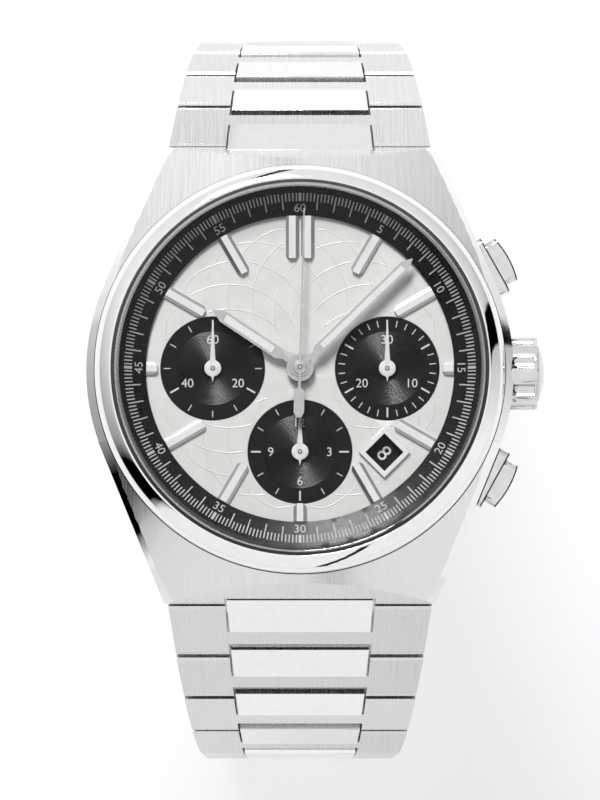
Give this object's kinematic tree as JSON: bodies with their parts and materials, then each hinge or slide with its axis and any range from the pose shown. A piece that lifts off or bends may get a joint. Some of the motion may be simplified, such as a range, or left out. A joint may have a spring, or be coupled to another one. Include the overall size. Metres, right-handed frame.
{
  "type": "chronograph wristwatch",
  "caption": "Round chronograph wristwatch with sub-dials, crown and pushers, on a tapering link bracelet closed by a folding clasp; tells the time and times events.",
  "frame": {"origin": "on the dial axis at the outer face of the clasp cover, on which the closed watch stands", "axes": "+X to 3 o'clock, +Y to 12 o'clock, +Z out of the dial"},
  "size_m": [0.0441, 0.0728, 0.0508],
  "materials": {
    "brushed_steel": "brushed lengthwise",
    "polished_steel": "polished",
    "crystal": "clear",
    "gasket": "matte",
    "black_print": "satin black",
    "silver_dial": "embossed satin silver",
    "white_paint": "satin white",
    "brass": "satin"
  },
  "bodies": {
    "case": {"case_middle": "brushed_steel", "bezel": "polished_steel", "crystal": "crystal", "seals": "gasket", "flange_ring": "black_print", "dial_plate": "silver_dial", "subdials": "black_print", "hour_markers": "polished_steel", "date_frame": "polished_steel", "movement_ring": "brushed_steel", "main_plate": "brass", "train_bridge": "brushed_steel", "balance_cock": "brushed_steel", "case_back": "polished_steel", "case_back_crystal": "crystal", "case_back_screws": "polished_steel", "case_tubes": "polished_steel", "spring_bars": "brushed_steel"},
    "minute": {"minute_hand": "polished_steel", "cannon_pinion": "brushed_steel"},
    "hour": {"hour_hand": "polished_steel", "hour_wheel": "brass"},
    "minute_wheel": {"minute_wheel": "brass"},
    "chrono_seconds": {"chrono_seconds_hand": "polished_steel"},
    "small_seconds": {"small_seconds_hand": "white_paint"},
    "minute_counter": {"minute_counter_hand": "white_paint"},
    "hour_counter": {"hour_counter_hand": "white_paint"},
    "date": {"date_disc": "black_print"},
    "balance": {"balance_wheel": "brass"},
    "barrel": {"mainspring_barrel": "brass"},
    "rotor": {"rotor": "brushed_steel"},
    "crown_slide": {"crown_gasket": "gasket"},
    "crown": {"crown": "polished_steel", "winding_stem": "brushed_steel"},
    "start_button": {"start_pusher": "polished_steel", "start_spring": "brushed_steel"},
    "reset_button": {"reset_pusher": "polished_steel", "reset_spring": "brushed_steel"},
    "upper_1": {"upper_link_1": "brushed_steel"},
    "upper_2": {"upper_link_2": "brushed_steel"},
    "upper_3": {"upper_link_3": "brushed_steel"},
    "upper_4": {"upper_link_4": "brushed_steel"},
    "upper_5": {"upper_link_5": "brushed_steel"},
    "upper_6": {"upper_link_6": "brushed_steel"},
    "upper_7": {"upper_link_7": "brushed_steel"},
    "upper_8": {"upper_link_8": "brushed_steel"},
    "upper_9": {"upper_link_9": "brushed_steel"},
    "lower_1": {"lower_link_1": "brushed_steel"},
    "lower_2": {"lower_link_2": "brushed_steel"},
    "lower_3": {"lower_link_3": "brushed_steel"},
    "lower_4": {"lower_link_4": "brushed_steel"},
    "lower_5": {"lower_link_5": "brushed_steel"},
    "lower_6": {"lower_link_6": "brushed_steel"},
    "lower_7": {"lower_link_7": "brushed_steel"},
    "lower_8": {"lower_link_8": "brushed_steel"},
    "lower_9": {"lower_link_9": "brushed_steel"},
    "inner_blade": {"clasp_inner_blade": "brushed_steel"},
    "outer_blade": {"clasp_outer_blade": "brushed_steel"},
    "cover": {"clasp_cover": "brushed_steel"}
  },
  "joints": [
    {"name": "minute_turn", "type": "hinge", "parent": "case", "child": "minute", "pos_m": [0, 0, 0.04807], "axis": [0, 0, -1], "continuous": true},
    {"name": "hour_turn", "type": "hinge", "parent": "case", "child": "hour", "pos_m": [0, 0, 0.04807], "axis": [0, 0, -1], "continuous": true},
    {"name": "minute_wheel_turn", "type": "hinge", "parent": "case", "child": "minute_wheel", "pos_m": [0.0024, 0.00416, 0.04807], "axis": [0, 0, -1], "continuous": true},
    {"name": "chrono_turn", "type": "hinge", "parent": "case", "child": "chrono_seconds", "pos_m": [0, 0, 0.04807], "axis": [0, 0, -1], "continuous": true},
    {"name": "small_seconds_turn", "type": "hinge", "parent": "case", "child": "small_seconds", "pos_m": [-0.00835, 0, 0.04807], "axis": [0, 0, -1], "continuous": true},
    {"name": "minute_counter_turn", "type": "hinge", "parent": "case", "child": "minute_counter", "pos_m": [0.00835, 0, 0.04807], "axis": [0, 0, -1], "continuous": true},
    {"name": "hour_counter_turn", "type": "hinge", "parent": "case", "child": "hour_counter", "pos_m": [0, -0.008, 0.04807], "axis": [0, 0, -1], "continuous": true},
    {"name": "date_turn", "type": "hinge", "parent": "case", "child": "date", "pos_m": [0, 0, 0.04807], "axis": [0, 0, -1], "continuous": true},
    {"name": "barrel_turn", "type": "hinge", "parent": "case", "child": "barrel", "pos_m": [0.0046, 0.00797, 0.04807], "axis": [0, 0, -1], "continuous": true},
    {"name": "rotor_turn", "type": "hinge", "parent": "case", "child": "rotor", "pos_m": [0, 0, 0.04807], "axis": [0, 0, -1], "continuous": true},
    {"name": "balance_swing", "type": "hinge", "parent": "case", "child": "balance", "pos_m": [-0.0055, -0.00847, 0.04807], "axis": [0, 0, -1], "range_deg": [-270, 270]},
    {"name": "crown_pull", "type": "slide", "parent": "case", "child": "crown_slide", "axis": [1, 0, 0], "range_m": [0, 0.0012]},
    {"name": "crown_turn", "type": "hinge", "parent": "crown_slide", "child": "crown", "pos_m": [0.023, 0, 0.04357], "axis": [1, 0, 0], "continuous": true},
    {"name": "start_press", "type": "slide", "parent": "case", "child": "start_button", "axis": [-0.8746, -0.4848, 0], "range_m": [0, 0.0009], "stiffness_N_per_m": 1500, "springref_m": -0.0006, "deforming": ["start_spring"]},
    {"name": "reset_press", "type": "slide", "parent": "case", "child": "reset_button", "axis": [-0.8746, 0.4848, 0], "range_m": [0, 0.0009], "stiffness_N_per_m": 1500, "springref_m": -0.0006, "deforming": ["reset_spring"]},
    {"name": "upper_pin_1", "type": "hinge", "parent": "case", "child": "upper_1", "pos_m": [0, 0.02031, 0.04155], "axis": [1, 0, 0], "range_deg": [0, 8]},
    {"name": "upper_pin_2", "type": "hinge", "parent": "upper_1", "child": "upper_2", "pos_m": [0, 0.02499, 0.03734], "axis": [1, 0, 0], "range_deg": [0, 5.39]},
    {"name": "upper_pin_3", "type": "hinge", "parent": "upper_2", "child": "upper_3", "pos_m": [0, 0.02878, 0.03321], "axis": [1, 0, 0], "range_deg": [0, 9.86]},
    {"name": "upper_pin_4", "type": "hinge", "parent": "upper_3", "child": "upper_4", "pos_m": [0, 0.03181, 0.0285], "axis": [1, 0, 0], "range_deg": [0, 12.77]},
    {"name": "upper_pin_5", "type": "hinge", "parent": "upper_4", "child": "upper_5", "pos_m": [0, 0.03372, 0.02324], "axis": [1, 0, 0], "range_deg": [0, 15.12]},
    {"name": "upper_pin_6", "type": "hinge", "parent": "upper_5", "child": "upper_6", "pos_m": [0, 0.0342, 0.01766], "axis": [1, 0, 0], "range_deg": [0, 17.15]},
    {"name": "upper_pin_7", "type": "hinge", "parent": "upper_6", "child": "upper_7", "pos_m": [0, 0.03301, 0.01219], "axis": [1, 0, 0], "range_deg": [0, 18.96]},
    {"name": "upper_pin_8", "type": "hinge", "parent": "upper_7", "child": "upper_8", "pos_m": [0, 0.0301, 0.0074], "axis": [1, 0, 0], "range_deg": [0, 20.61]},
    {"name": "upper_pin_9", "type": "hinge", "parent": "upper_8", "child": "upper_9", "pos_m": [0, 0.0257, 0.00394], "axis": [1, 0, 0], "range_deg": [0, 22.14]},
    {"name": "lower_pin_1", "type": "hinge", "parent": "case", "child": "lower_1", "pos_m": [0, -0.02031, 0.04155], "axis": [-1, 0, 0], "range_deg": [0, 8]},
    {"name": "lower_pin_2", "type": "hinge", "parent": "lower_1", "child": "lower_2", "pos_m": [0, -0.02499, 0.03734], "axis": [-1, 0, 0], "range_deg": [0, 5.39]},
    {"name": "lower_pin_3", "type": "hinge", "parent": "lower_2", "child": "lower_3", "pos_m": [0, -0.02878, 0.03321], "axis": [-1, 0, 0], "range_deg": [0, 9.86]},
    {"name": "lower_pin_4", "type": "hinge", "parent": "lower_3", "child": "lower_4", "pos_m": [0, -0.03181, 0.0285], "axis": [-1, 0, 0], "range_deg": [0, 12.77]},
    {"name": "lower_pin_5", "type": "hinge", "parent": "lower_4", "child": "lower_5", "pos_m": [0, -0.03372, 0.02324], "axis": [-1, 0, 0], "range_deg": [0, 15.12]},
    {"name": "lower_pin_6", "type": "hinge", "parent": "lower_5", "child": "lower_6", "pos_m": [0, -0.0342, 0.01766], "axis": [-1, 0, 0], "range_deg": [0, 17.15]},
    {"name": "lower_pin_7", "type": "hinge", "parent": "lower_6", "child": "lower_7", "pos_m": [0, -0.03301, 0.01219], "axis": [-1, 0, 0], "range_deg": [0, 18.96]},
    {"name": "lower_pin_8", "type": "hinge", "parent": "lower_7", "child": "lower_8", "pos_m": [0, -0.0301, 0.0074], "axis": [-1, 0, 0], "range_deg": [0, 20.61]},
    {"name": "lower_pin_9", "type": "hinge", "parent": "lower_8", "child": "lower_9", "pos_m": [0, -0.0257, 0.00394], "axis": [-1, 0, 0], "range_deg": [0, 22.14]},
    {"name": "clasp_pin", "type": "hinge", "parent": "upper_9", "child": "inner_blade", "pos_m": [0, 0.02032, 0.0024], "axis": [1, 0, 0], "range_deg": [0, 16]},
    {"name": "blade_hinge", "type": "hinge", "parent": "inner_blade", "child": "outer_blade", "pos_m": [0, -0.01052, 0.0021], "axis": [-1, 0, 0], "range_deg": [0, 100]},
    {"name": "cover_hinge", "type": "hinge", "parent": "outer_blade", "child": "cover", "pos_m": [0, 0.01612, 0.0021], "axis": [1, 0, 0], "range_deg": [0, 100]}
  ],
  "couplings": [
    {"joint": "hour_turn", "follows": "minute_turn", "ratio": 0.083333},
    {"joint": "minute_wheel_turn", "follows": "minute_turn", "ratio": -0.33333},
    {"joint": "small_seconds_turn", "follows": "minute_turn", "ratio": 60},
    {"joint": "date_turn", "follows": "minute_turn", "ratio": -0.0013441},
    {"joint": "barrel_turn", "follows": "minute_turn", "ratio": -0.14286},
    {"joint": "minute_counter_turn", "follows": "chrono_turn", "ratio": 0.033333},
    {"joint": "hour_counter_turn", "follows": "chrono_turn", "ratio": 0.0013889}
  ]
}
